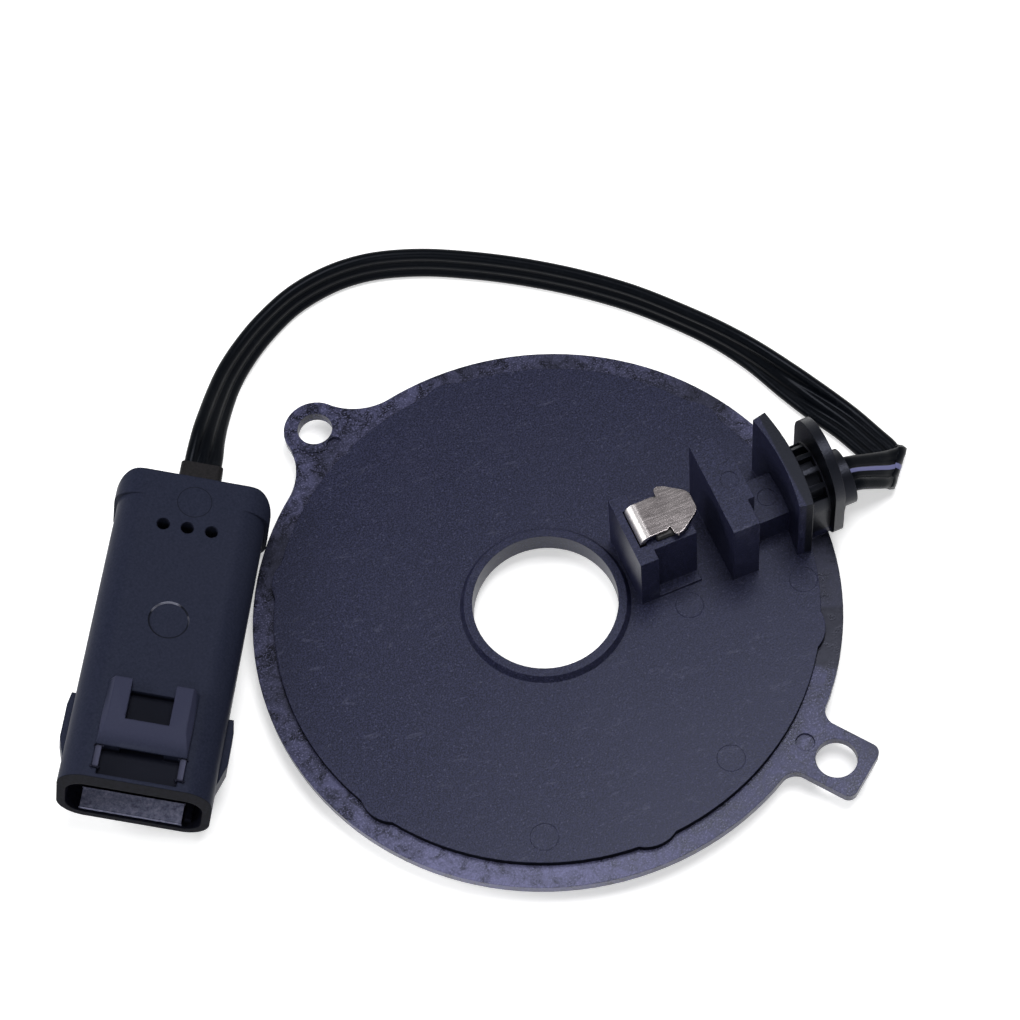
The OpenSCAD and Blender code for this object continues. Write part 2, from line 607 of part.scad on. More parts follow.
// Locking connector housing.
module connector_body() color(plastic) in_connector() difference() {
    union() {
        across_x(hood_l, conn_l - hood_l) translate([0, conn_h / 2]) round_rect(conn_w, conn_h, conn_edge_r);
        intersection() {
            across_x(0, hood_l + eps) translate([0, conn_h / 2])
                round_rect(hood_w, conn_h, conn_edge_r);
            linear_extrude(conn_h) {
                translate([hood_r, -hood_w / 2]) square([hood_l, hood_w]);
                translate([0, hood_r - hood_w / 2]) square([hood_l, hood_w - 2 * hood_r]);
                for (s = [-1, 1]) translate([hood_r, s * (hood_w / 2 - hood_r)]) circle(hood_r);
            }
        }
        // Lock: two posts and a crossbar with a sloped front
        for (s = [-1, 1]) translate([lock_x, s > 0 ? lock_window_w / 2 : -lock_w / 2, conn_h - 1])
            cube([lock_l, (lock_w - lock_window_w) / 2, lock_h + 1]);
        translate([lock_x + lock_l - lock_bar_l, lock_w / 2, conn_h - bar_drop]) rotate([90, 0, 0])
            linear_extrude(lock_w) polygon([[0, 0], [lock_bar_l, 0], [lock_bar_l, lock_h + bar_drop - bar_slope],
                [lock_bar_l - 0.9, lock_h + bar_drop], [0, lock_h + bar_drop]]);
        // Side wings
        for (s = [0, 1]) mirror([0, s, 0]) translate([0, 0, wing_z]) linear_extrude(wing_t)
            polygon([[wing_x, conn_w / 2 - 1], [wing_x, conn_w / 2 + wing_out * 0.7],
                [wing_x + 2, conn_w / 2 + wing_out], [wing_end - 3.8, conn_w / 2 + wing_out],
                [wing_end, conn_w / 2 - 0.1], [wing_end, conn_w / 2 - 1]]);
    }
    // Mouth
    difference() {
        across_x(partition_x, mouth_d + 1) translate([0, mouth_wall + mouth_high / 2])
            round_rect(conn_w - 2 * mouth_wall, mouth_high, conn_edge_r - mouth_wall);
        // Key rib on the mouth's floor
        translate([partition_x - 1, key_rib_y, 0]) cube([conn_l - partition_x, 1, mouth_wall + key_rib_h]);
    }
    // Pocket for the collar's inner block, and channels for the terminals
    across_x(-1, tail_in + 1) translate([0, entry_h])
        round_rect(tail_w + block_more, tail_t + block_more, tail_edge_r);
    for (k = [-1, 0, 1]) terminal_form(k, partition_x + 1);
    // Three holes and the ejector circles on the top
    for (k = [-1, 0, 1]) translate([top_hole_x, k * terminal_pitch, entry_h]) cylinder(h = conn_h, d = top_hole_d);
    translate([24.9, 0, conn_h - dot_d]) cylinder(h = 1, r = 2.95);
    // Recess under the lock and in front of it
    translate([lock_x + 1.1, -lock_window_w / 2, conn_h - recess_d])
        cube([lock_l, lock_window_w, recess_d + lock_window_rise]);
    translate([lock_x + lock_l, -recess_w / 2, conn_h - recess_d]) cube([recess_l, recess_w, recess_d + 1]);
}

base_plate();
magnet();
pole_piece();
hall_chip();
flux_plate();
chip_leg(-1);  // chip_leg_1
chip_leg(0);  // chip_leg_2
chip_leg(1);  // chip_leg_3
splice(-1);  // splice_1
splice(0);  // splice_2
splice(1);  // splice_3
neck_cores();
potting();
lead_cable();
cable_collar();
connector_body();
terminal(-1);  // terminal_1
terminal(0);  // terminal_2
terminal(1);  // terminal_3
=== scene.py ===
"""Ignition hall sensor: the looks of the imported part, in metres, in the part's own frame."""
import json

import bmesh
import bpy
import numpy as np
from mathutils import Matrix, Vector


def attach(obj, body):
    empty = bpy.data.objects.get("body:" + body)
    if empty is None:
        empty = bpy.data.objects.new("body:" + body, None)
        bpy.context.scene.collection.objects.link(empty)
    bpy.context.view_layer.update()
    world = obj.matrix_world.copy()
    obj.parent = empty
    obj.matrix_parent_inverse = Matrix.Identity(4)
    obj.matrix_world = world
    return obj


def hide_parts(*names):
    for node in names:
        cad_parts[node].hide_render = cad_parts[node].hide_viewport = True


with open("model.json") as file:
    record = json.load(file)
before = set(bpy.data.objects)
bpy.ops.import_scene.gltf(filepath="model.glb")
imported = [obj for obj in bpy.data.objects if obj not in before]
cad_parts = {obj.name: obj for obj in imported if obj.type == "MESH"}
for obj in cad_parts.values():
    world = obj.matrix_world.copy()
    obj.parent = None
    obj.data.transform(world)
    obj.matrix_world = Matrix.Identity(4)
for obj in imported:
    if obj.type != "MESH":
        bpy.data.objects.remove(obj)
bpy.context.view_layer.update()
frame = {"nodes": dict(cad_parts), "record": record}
nodes = frame["nodes"]

MM = 0.001
FLOOR_Z = -2.9 * MM

# Camera, at the photograph's place
CAMERA_AT = (-0.0599, -0.190812, 0.413331)
CAMERA_RIGHT = (0.922277, -0.379722, -0.07226)
CAMERA_UP = (0.365019, 0.794073, 0.48604)
CAMERA_BACK = (-0.127178, -0.474637, 0.87096)


def make_camera():
    data = bpy.data.cameras.new("photo_camera")
    data.sensor_fit = "HORIZONTAL"
    data.sensor_width = 36.0
    data.lens = 106.0
    data.shift_x = 0.04553
    data.shift_y = -0.07584
    data.clip_start = 0.01
    data.clip_end = 20.0
    camera = bpy.data.objects.new("photo_camera", data)
    bpy.context.scene.collection.objects.link(camera)
    turn = Matrix((CAMERA_RIGHT, CAMERA_UP, CAMERA_BACK)).transposed().to_4x4()
    camera.matrix_world = Matrix.Translation(CAMERA_AT) @ turn
    bpy.context.scene.camera = camera


make_camera()
bpy.context.scene.view_settings.view_transform = "Standard"

# Connector: its tail's place in millimetres, its turns, and its directions along, up and across
CONN_AT = np.array([-44.2, 38.01, -1.27])
CONN_YAW, CONN_PITCH, CONN_ROLL = np.radians([-119.6, 2.9, -11.1])
CONN_AXIS = np.array([
    np.cos(CONN_PITCH) * np.cos(CONN_YAW),
    np.cos(CONN_PITCH) * np.sin(CONN_YAW),
    np.sin(CONN_PITCH)])
CONN_UP = np.array([
    np.sin(CONN_ROLL) * np.sin(CONN_YAW) - np.cos(CONN_ROLL) * np.sin(CONN_PITCH) * np.cos(CONN_YAW),
    -np.sin(CONN_ROLL) * np.cos(CONN_YAW) - np.cos(CONN_ROLL) * np.sin(CONN_PITCH) * np.sin(CONN_YAW),
    np.cos(CONN_ROLL) * np.cos(CONN_PITCH)])
CONN_ACROSS = np.cross(CONN_UP, CONN_AXIS)
TAIL_OUT = 6.0
ENTRY_H = 6.4
LEAD_END = CONN_AT - TAIL_OUT * CONN_AXIS + ENTRY_H * CONN_UP

# Ribbon lead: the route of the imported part, in millimetres, with the ribbon's bank in degrees
LEAD_ROUTE = [
    (50, 0, 5.6, 0), (51.4, 0, 5.25, 0), (53.2, 0.1, 4.1, 0), (55, 0.2, 2.85, 0), (56.4, 0.3, 1.85, 0),
    (57.6, 0.5, 0.9, 0), (58.5, 0.6, 0.35, 0), (59.1, 0.8, 0.1, 0), (59.5, 1.2, -0.9, 0),
    (59.5, 1.8, -1.9, 0), (59.3, 3.2, -1.9, 0), (58.8, 5, -1.9, 0), (58, 7.2, -1.9, 0),
    (56.2, 11.8, -1.7, 4), (53.6, 16.6, -1.1, 20), (51, 21.6, -0.5, 46), (47.8, 28, 0, 68),
    (44.4, 33.7, 0.1, 78), (40.6, 38.9, 0.12, 82), (35.6, 44.9, 0.12, 82), (30.8, 49.7, 0.12, 82),
    (25.6, 54.2, 0.12, 82), (19.5, 58.8, 0.12, 82), (13, 63, 0.12, 82), (6.4, 66.6, 0.12, 82),
    (-0.3, 69.1, 0.12, 82), (-5.9, 70, 0.12, 82), (-11.2, 69.7, 0.12, 80), (-16.4, 68.4, 0.12, 78),
    (-22, 65.6, 0.2, 74), (-26.6, 62.3, 0.5, 70), (-30.2, 58.8, 1.1, 65), (-32.9, 55.2, 2, 60),
    (-35.1, 51.7, 3.1, 54), (-36.95, 48.5, 4.05, 44), (-38.6, 45.4, 4.5, 28), (*LEAD_END, 11.1)]
FOLD_FIRST, FOLD_LAST = 7, 9
CREASE_ANGLE = 49.0
AFTER_CREASE_ANGLE = 30.0
RIBBON_HALF = 3.0
CORE_R = 1.0
RIBBON_STEPS = 6
# Least height of the web between the cores, as a share of a core's radius: along the lead, at the fold
LOBED_WEB, FOLDED_WEB = 0.62, 0.93
FLOOR_GAP = 0.02
# Where the two sides of the ribbon lie in its UV layer: the side with the tracer line, the plain side
TRACER_SIDE, PLAIN_SIDE = 2.0, 7.0


def unit(v):
    return v / np.linalg.norm(v)


def tangents(points):
    """Unit direction at each point: out of the neck at the first, into the connector at the last."""
    between = [unit(after - before) for before, after in zip(points, points[2:])]
    return [np.array([1.0, 0, 0])] + between + [CONN_AXIS]


def coarse_widths(places, banks):
    """Half-width vector of the ribbon at each point of the route, sheared towards the fold's crease."""
    widths = []
    for i, (tangent, bank) in enumerate(zip(tangents(places), banks)):
        if i < FOLD_FIRST:
            angle = 90 - (90 - CREASE_ANGLE) * max(i - 1, 0) / (FOLD_FIRST - 1)
        elif i <= FOLD_LAST:
            angle = CREASE_ANGLE
        elif i == FOLD_LAST + 1:
            angle = AFTER_CREASE_ANGLE
        else:
            angle = np.degrees(np.arctan2(tangent[1], tangent[0])) - 90
        a, b = np.radians([angle, bank])
        across = np.array([np.cos(a) * np.cos(b), np.sin(a) * np.cos(b), np.sin(b)])
        if i > FOLD_LAST + 1:
            across = unit(across - (across @ tangent) * tangent)
        half = RIBBON_HALF / np.sin(a) if i <= FOLD_LAST else RIBBON_HALF
        widths.append(across * half)
    return np.array(widths)


def smooth(values, steps):
    """Catmull-Rom points through the values, with steps to each stretch."""
    first = 2 * values[0] - values[1]
    final = 2 * values[-1] - values[-2]
    padded = np.vstack([first, values, final])
    out = []
    for i in range(len(values) - 1):
        a, b, c, d = padded[i:i + 4]
        for k in range(steps):
            t = k / steps
            out.append(0.5 * (2 * b + (c - a) * t + (2 * a - 5 * b + 4 * c - d) * t * t
                              + (3 * b - a - 3 * c + d) * t ** 3))
    out.append(values[-1])
    return np.array(out)


def ribbon_outline(web):
    """Section of three bonded cores: (share across the width, share of the thickness), going round once."""
    upper = []
    for core in (1, 0, -1):
        for angle in np.radians(np.arange(15, 166, 15)):
            x = (2 * core + np.cos(angle)) / 3
            upper.append((x, max(np.sin(angle), web if abs(x) < 0.95 else 0.0)))
    upper = [p for i, p in enumerate(upper) if i == 0 or upper[i - 1][0] - p[0] > 0.02]
    lower = [(x, -h) for x, h in reversed(upper)]
    return [(1.0, 0.0)] + upper + [(-1.0, 0.0)] + lower


def ribbon_rings(line, across, lobed, folded):
    """The ribbon's sections along its line, flatter near the fold and kept off the floor."""
    fold_at = (FOLD_FIRST + 1) * RIBBON_STEPS
    rings = []
    for i, (at, w, tangent) in enumerate(zip(line, across, tangents(line))):
        up = unit(np.cross(tangent, w))
        near = float(np.clip(1.3 - abs(i - fold_at) / (1.6 * RIBBON_STEPS), 0, 1))
        ring = []
        for (share, high), (_, low) in zip(lobed, folded):
            ring.append(at + share * w + (high + near * (low - high)) * CORE_R * up)
        ring = np.array(ring)
        ring[:, 2] = np.maximum(ring[:, 2], FLOOR_Z / MM + FLOOR_GAP)
        rings.append(ring)
    return rings


def make_ribbon():
    """The lead, with its middle line and its length in metres."""
    places = np.array([p[:3] for p in LEAD_ROUTE], float)
    line = smooth(places, RIBBON_STEPS)
    across = smooth(coarse_widths(places, [p[3] for p in LEAD_ROUTE]), RIBBON_STEPS)
    lobed = ribbon_outline(LOBED_WEB)
    rings = ribbon_rings(line, across, lobed, ribbon_outline(FOLDED_WEB))
    mesh = bpy.data.meshes.new("ribbon_lead")
    bm = bmesh.new()
    made = [[bm.verts.new(Vector(p) * MM) for p in ring] for ring in rings]
    sides = len(lobed)
    for one, two in zip(made, made[1:]):
        for j in range(sides):
            k = (j + 1) % sides
            bm.faces.new((one[j], one[k], two[k], two[j]))
    bm.faces.new(list(reversed(made[0])))
    bm.faces.new(made[-1])
    bmesh.ops.recalc_face_normals(bm, faces=bm.faces)
    for f in bm.faces:
        f.smooth = True
    layer = bm.loops.layers.uv.new("along")
    for ring_index, ring in enumerate(made):
        for (share, height), vert in zip(lobed, ring):
            side = TRACER_SIDE if height > 0 else PLAIN_SIDE
            for loop in vert.link_loops:
                loop[layer].uv = (side + share, ring_index / len(made))
    bm.to_mesh(mesh)
    bm.free()
    piece = bpy.data.objects.new("ribbon_lead", mesh)
    bpy.context.scene.collection.objects.link(piece)
    length = float(np.linalg.norm(np.diff(line, axis=0), axis=1).sum()) * MM
    return piece, line * MM, length


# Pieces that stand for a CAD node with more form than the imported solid
def add_piece(mesh, node):
    piece = bpy.data.objects.new(mesh.name, mesh)
    bpy.context.scene.collection.objects.link(piece)
    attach(piece, "root")
    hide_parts(node)
    return piece


def copied(node):
    """The node's mesh with its doubled points joined."""
    bm = bmesh.new()
    bm.from_mesh(nodes[node].data)
    bmesh.ops.remove_doubles(bm, verts=bm.verts, dist=1e-6)
    return bm


def finished(bm, name, sharp=35):
    """A mesh of the shape, smooth but for edges sharper than this angle in degrees."""
    bmesh.ops.recalc_face_normals(bm, faces=bm.faces)
    mesh = bpy.data.meshes.new(name)
    bm.to_mesh(mesh)
    bm.free()
    if "custom_normal" in mesh.attributes:
        mesh.attributes.remove(mesh.attributes["custom_normal"])
    mesh.shade_smooth()
    mesh.set_sharp_from_angle(angle=np.radians(sharp))
    return mesh


# Plate, in millimetres: the heights and radii of its flange, its outer rim and the step up to the disk
FLANGE_LOW, FLANGE_HIGH = 1.2, 2.35
RIM_LOW, RIM_R = -0.2, 43
STEP_LOW, STEP_HIGH = 1.6, 2.95
STEP_R, STEP_OUT_R = 38.8, 42.5
# Slots of the plate's own materials: the flange's finish, and the painted shade on the step round the disk
PLATE_FLANGE, PLATE_STEP_SHADE = 1, 2


def make_plate():
    """The plate, with a finish of its own on the flange and ears, and painted shade on the step round the
    disk.
    """
    bm = copied("base_plate")
    for face in bm.faces:
        at = face.calc_center_median() / MM
        radius = at.xy.length
        facing = face.normal.z
        top = FLANGE_LOW < at.z < FLANGE_HIGH and radius > STEP_R and facing > 0.9
        rim = RIM_LOW < at.z < FLANGE_HIGH and radius > RIM_R
        step = STEP_LOW < at.z < STEP_HIGH and STEP_R < radius < STEP_OUT_R and abs(facing) < 0.5
        face.material_index = PLATE_STEP_SHADE if step else PLATE_FLANGE if top or rim else 0
    return add_piece(finished(bm, "plate_body"), "base_plate")


# Connector, in millimetres along it, across it and up
CONN_L, CONN_W, CONN_H = 51.8, 22.8, 14.4
LOCK_BAR_X, LOCK_END = 42.7, 46.8
LOCK_HALF, LOCK_H = 6.7, 1.8
RECESS_HALF, RECESS_END = 5.9, 51.2
NOTCH_H = 0.9
SLOPE_X = LOCK_BAR_X + 0.3
SLOPE_DROP = 1.25
POST_LEAN = 0.9
RIB_HALF = 0.45
BAR_L = 3.6
# Slots of the housing's own materials: the floor bar's painted light, and the painted shade inside the mouth
HOUSING_BAR_PAINTED_LIGHT, HOUSING_MOUTH_SHADE = 1, 2


def in_connector(u, v, w):
    """A place given in the connector's own directions, in metres."""
    return Vector((CONN_AT + u * CONN_AXIS + v * CONN_ACROSS + w * CONN_UP) * MM)


def own_place(point):
    """A point in metres as millimetres along the connector, across it and up."""
    p = np.array(point) / MM - CONN_AT
    return p @ CONN_AXIS, p @ CONN_ACROSS, p @ CONN_UP


def add_block(bm, low, high, edge, index):
    """A block with rounded edges, between two corners in the connector's own directions."""
    before = set(bm.faces)
    made = bmesh.ops.create_cube(bm, size=1.0)["verts"]
    middle = [(a + b) / 2 for a, b in zip(low, high)]
    size = [b - a for a, b in zip(low, high)]
    for v in made:
        v.co = in_connector(*(m + s * c for m, s, c in zip(middle, size, v.co)))
    edges = list({e for v in made for e in v.link_edges})
    bmesh.ops.bevel(bm, geom=edges, offset=edge * MM, segments=3, profile=0.5, affect="EDGES")
    for face in bm.faces:
        if face not in before:
            face.material_index = index


def shape_lock(bm):
    """The lock's notch gets shallow, its posts lean in, and its top slopes down to the front."""
    everything = list(bm.verts) + list(bm.edges) + list(bm.faces)
    bmesh.ops.bisect_plane(bm, geom=everything, plane_co=in_connector(SLOPE_X, 0, 0),
                           plane_no=Vector(CONN_AXIS), dist=1e-7)
    top = CONN_H + LOCK_H
    slope = SLOPE_DROP / (LOCK_END - SLOPE_X)
    for vert in bm.verts:
        u, v, w = own_place(vert.co)
        side = 1 if v > 0 else -1
        outer = abs(abs(v) - LOCK_HALF) < 0.05
        if abs(w - CONN_H - NOTCH_H) < 0.05:
            w = CONN_H + 0.2
        if w > top - 0.05 and outer and u < LOCK_BAR_X + 0.4:
            v = side * (LOCK_HALF - POST_LEAN)
        if w > top - 0.6 and u > SLOPE_X:
            w = top - slope * (u - SLOPE_X)
        vert.co = in_connector(u, v, w)


def make_connector():
    """The housing with its lock, a rib on each side of the recess, and a bar on the mouth's floor."""
    bm = copied("connector_body")
    shape_lock(bm)
    for side in (-1, 1):
        middle = side * (RECESS_HALF + 0.3)
        add_block(bm, (LOCK_END + 0.2, middle - RIB_HALF, CONN_H - 0.4),
                  (RECESS_END - 0.9, middle + RIB_HALF, CONN_H + 0.35), 0.3, 0)
    # Faces inside the mouth and on its front take the near-black painted shade
    for face in bm.faces:
        u, v, w = own_place(face.calc_center_median())
        inside = u > 38 and abs(v) < CONN_W / 2 - 1.2 and 1.2 < w < 11.2
        if inside or u > CONN_L - 0.05:
            face.material_index = HOUSING_MOUTH_SHADE
    # A bar on the mouth's floor, in a pale material that paints the light on it
    add_block(bm, (CONN_L - BAR_L, -8.0, 1.2), (CONN_L - 0.4, 7.2, 1.85), 0.15, HOUSING_BAR_PAINTED_LIGHT)
    return add_piece(finished(bm, "connector_housing"), "connector_body")


# Pole piece, in millimetres: a leg, a rolled bend and a spade with rounded corners
POLE_LEG_X, POLE_T, POLE_TOP, POLE_FOOT = 14.7, 0.8, 17.7, 6.9
POLE_BEND = 1.6
POLE_PLATE_X = POLE_LEG_X + POLE_BEND
POLE_HALF, SPADE_HALF, TIP_HALF = 3.0, 4.2, 1.7
SHOULDER_X, SPADE_SIDE_X, TIP_X = 19.8, 21.1, 24.6
BEND_STEPS = 12
POLE_SHARP = 50


def rounded(points, radii, steps=5):
    """The polygon's corners replaced by curves that start this far from each corner."""
    out = []
    for i, (p, r) in enumerate(zip(points, radii)):
        p = np.array(p, float)
        if r == 0:
            out.append(p)
            continue
        before = unit(np.array(points[i - 1]) - p)
        after = unit(np.array(points[(i + 1) % len(points)]) - p)
        one = p + before * r
        two = p + after * r
        for k in range(steps + 1):
            t = k / steps
            out.append((1 - t) ** 2 * one + 2 * t * (1 - t) * p + t * t * two)
    return out


def make_pole():
    """The steel strip: its spade as a plate, then its bend and leg as rows of four points."""
    half = [(POLE_PLATE_X, POLE_HALF), (SHOULDER_X - 0.7, POLE_HALF), (SHOULDER_X - 0.1, POLE_HALF - 0.4),
            (SHOULDER_X + 0.1, SPADE_HALF), (SPADE_SIDE_X, SPADE_HALF), (TIP_X, TIP_HALF)]
    radii = [0, 0.2, 0.3, 0.5, 0.7, 0.9]
    points = [(x, -y) for x, y in half] + [(x, y) for x, y in reversed(half)]
    outline = rounded(points, radii + radii[::-1])
    bm = bmesh.new()
    upper = [bm.verts.new(Vector((x, y, POLE_TOP)) * MM) for x, y in outline]
    lower = [bm.verts.new(Vector((x, y, POLE_TOP - POLE_T)) * MM) for x, y in outline]
    bm.faces.new(upper)
    bm.faces.new(list(reversed(lower)))
    for j in range(len(outline) - 1):
        bm.faces.new((upper[j], lower[j], lower[j + 1], upper[j + 1]))
    section = []
    for k in range(1, BEND_STEPS + 1):
        a = np.radians(90 + 90 * k / BEND_STEPS)
        section.append([(POLE_PLATE_X + r * np.cos(a), POLE_TOP - POLE_BEND + r * np.sin(a))
                        for r in (POLE_BEND, POLE_BEND - POLE_T)])
    section.append([(POLE_LEG_X, POLE_FOOT), (POLE_LEG_X + POLE_T, POLE_FOOT)])
    rows = [[upper[0], upper[-1], lower[-1], lower[0]]]
    for outer, inner in section:
        corners = ((outer, -POLE_HALF), (outer, POLE_HALF), (inner, POLE_HALF), (inner, -POLE_HALF))
        rows.append([bm.verts.new(Vector((p[0], y, p[1])) * MM) for p, y in corners])
    for one, two in zip(rows, rows[1:]):
        for j in range(4):
            bm.faces.new((one[j], one[(j + 1) % 4], two[(j + 1) % 4], two[j]))
    bm.faces.new(rows[-1])
    piece = add_piece(finished(bm, "pole_strip", POLE_SHARP), "pole_piece")
    rounding = piece.modifiers.new("edges", "BEVEL")
    rounding.width = 0.09 * MM
    rounding.segments = 2
    rounding.limit_method = "ANGLE"
    rounding.angle_limit = np.radians(POLE_SHARP)
    rounding.harden_normals = True
    piece.modifiers.new("normals", "WEIGHTED_NORMAL").keep_sharp = True
    return piece


plate = make_plate()
housing = make_connector()
pole = make_pole()
ribbon, ribbon_line, ribbon_length = make_ribbon()
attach(ribbon, "root")
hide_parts("lead_cable")


# Materials
class Shader:
    """A node tree with short ways to add what the materials here need."""

    def __init__(self, name):
        self.material = bpy.data.materials.new(name)
        self.material.use_nodes = True
        self.tree = self.material.node_tree
        self.tree.nodes.clear()
        self.out = self.add("ShaderNodeOutputMaterial")
        self.bsdf = self.add("ShaderNodeBsdfPrincipled")
        self.link(self.bsdf.outputs["BSDF"], self.out.inputs["Surface"])
        self.place = self.add("ShaderNodeTexCoord").outputs["Object"]

    def add(self, kind, **settings):
        node = self.tree.nodes.new(kind)
        for key, value in settings.items():
            setattr(node, key, value)
        return node

    def link(self, source, target):
        self.tree.links.new(source, target)

    def put(self, socket, value):
        if isinstance(value, bpy.types.NodeSocket):
            self.link(value, socket)
        elif isinstance(value, tuple) and len(value) == 3 and socket.type == "RGBA":
            socket.default_value = (*value, 1.0)
        else:
            socket.default_value = value

    def set(self, **values):
        for key, value in values.items():
            self.put(self.bsdf.inputs[key.replace("_", " ")], value)

    def noise(self, scale, detail, rough, stretch=None, distortion=0.0):
        node = self.add("ShaderNodeTexNoise")
        where = self.place
        if stretch is not None:
            mapping = self.add("ShaderNodeMapping")
            mapping.inputs["Scale"].default_value = stretch
            self.link(self.place, mapping.inputs["Vector"])
            where = mapping.outputs["Vector"]
        self.link(where, node.inputs["Vector"])
        settings = {"Scale": scale, "Detail": detail, "Roughness": rough, "Distortion": distortion}
        for key, value in settings.items():
            node.inputs[key].default_value = value
        return node.outputs["Fac"]

    def ramp(self, factor, low, one, high, two):
        """One value up to low, the other from high on, even between."""
        node = self.add("ShaderNodeValToRGB")
        for element, (position, value) in zip(node.color_ramp.elements, ((low, one), (high, two))):
            element.position = position
            element.color = (value, value, value, 1.0)
        self.link(factor, node.inputs["Fac"])
        return node.outputs["Color"]

    def mix(self, factor, one, two):
        node = self.add("ShaderNodeMix", data_type="RGBA")
        self.put(node.inputs["Factor"], factor)
        self.put(node.inputs["A"], one)
        self.put(node.inputs["B"], two)
        return node.outputs["Result"]

    def over(self, color, factor, low, high, most, new):
        """The new colour laid over the old one, from none at low to this share at high."""
        return self.mix(self.ramp(factor, low, 0.0, high, most), color, new)

    def math(self, operation, one, two=0.0):
        node = self.add("ShaderNodeMath", operation=operation)
        self.put(node.inputs[0], one)
        self.put(node.inputs[1], two)
        return node.outputs["Value"]

    def times(self, first, *others):
        """The product of all the factors."""
        for other in others:
            first = self.math("MULTIPLY", first, other)
        return first

    def above(self, value, low, high):
        """0 below low, 1 above high, smooth between."""
        node = self.add("ShaderNodeMapRange", interpolation_type="SMOOTHSTEP")
        self.put(node.inputs["Value"], value)
        node.inputs["From Min"].default_value = low
        node.inputs["From Max"].default_value = high
        return node.outputs["Result"]

    def below(self, value, low, high):
        """1 below low, 0 above high, smooth between."""
        return self.math("SUBTRACT", 1.0, self.above(value, low, high))

    def axes(self):
        node = self.add("ShaderNodeSeparateXYZ")
        self.link(self.place, node.inputs["Vector"])
        return node.outputs["X"], node.outputs["Y"], node.outputs["Z"]

    def local(self):
        """Places in the connector's own directions: along, across and up, in metres."""
        moved = self.add("ShaderNodeVectorMath", operation="SUBTRACT")
        self.link(self.place, moved.inputs[0])
        moved.inputs[1].default_value = tuple(CONN_AT * MM)
        out = []
        for direction in (CONN_AXIS, CONN_ACROSS, CONN_UP):
            node = self.add("ShaderNodeVectorMath", operation="DOT_PRODUCT")
            self.link(moved.outputs["Vector"], node.inputs[0])
            node.inputs[1].default_value = tuple(direction)
            out.append(node.outputs["Value"])
        return out

    def ring(self, one, two, at_one, at_two, radius, width):
        """1 on a circle's line, 0 off it, given in millimetres."""
        a = self.math("SUBTRACT", one, at_one * MM)
        b = self.math("SUBTRACT", two, at_two * MM)
        far = self.math("SQRT", self.math("ADD", self.times(a, a), self.times(b, b)))
        off = self.math("ABSOLUTE", self.math("SUBTRACT", far, radius * MM))
        return self.below(off, width * 0.5 * MM, width * MM)

    def bump(self, height, strength, distance, edge=0.00018):
        """Bump from the height, on normals rounded over the edges; edge=None leaves the edges as they are."""
        node = self.add("ShaderNodeBump")
        node.inputs["Strength"].default_value = strength
        node.inputs["Distance"].default_value = distance
        self.link(height, node.inputs["Height"])
        if edge is not None:
            bevel = self.add("ShaderNodeBevel", samples=4)
            bevel.inputs["Radius"].default_value = edge
            self.link(bevel.outputs["Normal"], node.inputs["Normal"])
        self.link(node.outputs["Normal"], self.bsdf.inputs["Normal"])


def plate_material():
    s = Shader("plate_moulding")
    speckle = s.noise(4200, 1, 0.5)
    dust = s.noise(260, 6, 0.8, stretch=(1.0, 2.6, 1.0), distortion=0.8)
    x, y, z = s.axes()
    color = s.over((0.003, 0.0034, 0.011), speckle, 0.36, 0.68, 1.0, (0.020, 0.0215, 0.054))
    color = s.over(color, s.noise(2700, 2, 0.6), 0.60, 0.72, 0.7, (0.060, 0.062, 0.110))
    color = s.over(color, s.noise(45, 4, 0.6), 0.3, 0.75, 0.35, (0.018, 0.0195, 0.040))
    color = s.over(color, dust, 0.58, 0.74, 0.5, (0.085, 0.088, 0.135))
    # The neck's cage and guard disc get painted shade, darker than the rest
    cage_shade = s.times(s.above(x, 0.0390, 0.0394), s.above(z, 0.0032, 0.0036))
    color = s.mix(cage_shade, color, (0.002, 0.0025, 0.004))
    s.set(Base_Color=color, Roughness=s.ramp(speckle, 0.3, 0.33, 0.7, 0.41))
    s.set(Specular_IOR_Level=0.22, Specular_Tint=(0.74, 0.78, 1.0))
    s.bump(speckle, 0.5, 0.00004)
    return s.material


def flange_material():
    s = Shader("flange_moulding")
    streak = s.noise(420, 5, 0.7, distortion=0.7)
    sparkle = s.noise(3600, 2, 0.6)
    x, y, z = s.axes()
    angle = s.math("ARCTAN2", y, x)
    color = s.over((0.004, 0.0045, 0.009), streak, 0.40, 0.64, 1.0, (0.050, 0.051, 0.105))
    color = s.over(color, sparkle, 0.52, 0.70, 0.8, (0.13, 0.13, 0.24))
    color = s.over(color, s.noise(30, 3, 0.5), 0.50, 0.64, 0.85, (0.004, 0.0045, 0.008))
    # Painted sheen along the near left, painted dark reflection in the scoop at the right
    painted_sheen = s.times(s.above(angle, -2.95, -2.25), s.below(angle, -1.95, -1.3),
                     s.ramp(streak, 0.34, 0.1, 0.62, 0.8), s.ramp(sparkle, 0.3, 0.55, 0.6, 1.0))
    color = s.mix(painted_sheen, color, (0.145, 0.145, 0.265))
    # Painted dark reflection in the scoop at the right
    scoop_dark_reflection = s.times(s.above(angle, -0.665, -0.645), s.below(angle, -0.43, -0.41))
    color = s.mix(scoop_dark_reflection, color, (0.002, 0.002, 0.003))
    s.set(Base_Color=color, Roughness=s.ramp(streak, 0.35, 0.24, 0.65, 0.42))
    s.set(Specular_IOR_Level=0.28, Specular_Tint=(0.72, 0.75, 1.0))
    s.bump(s.mix(0.5, streak, sparkle), 0.4, 0.00008)
    return s.material


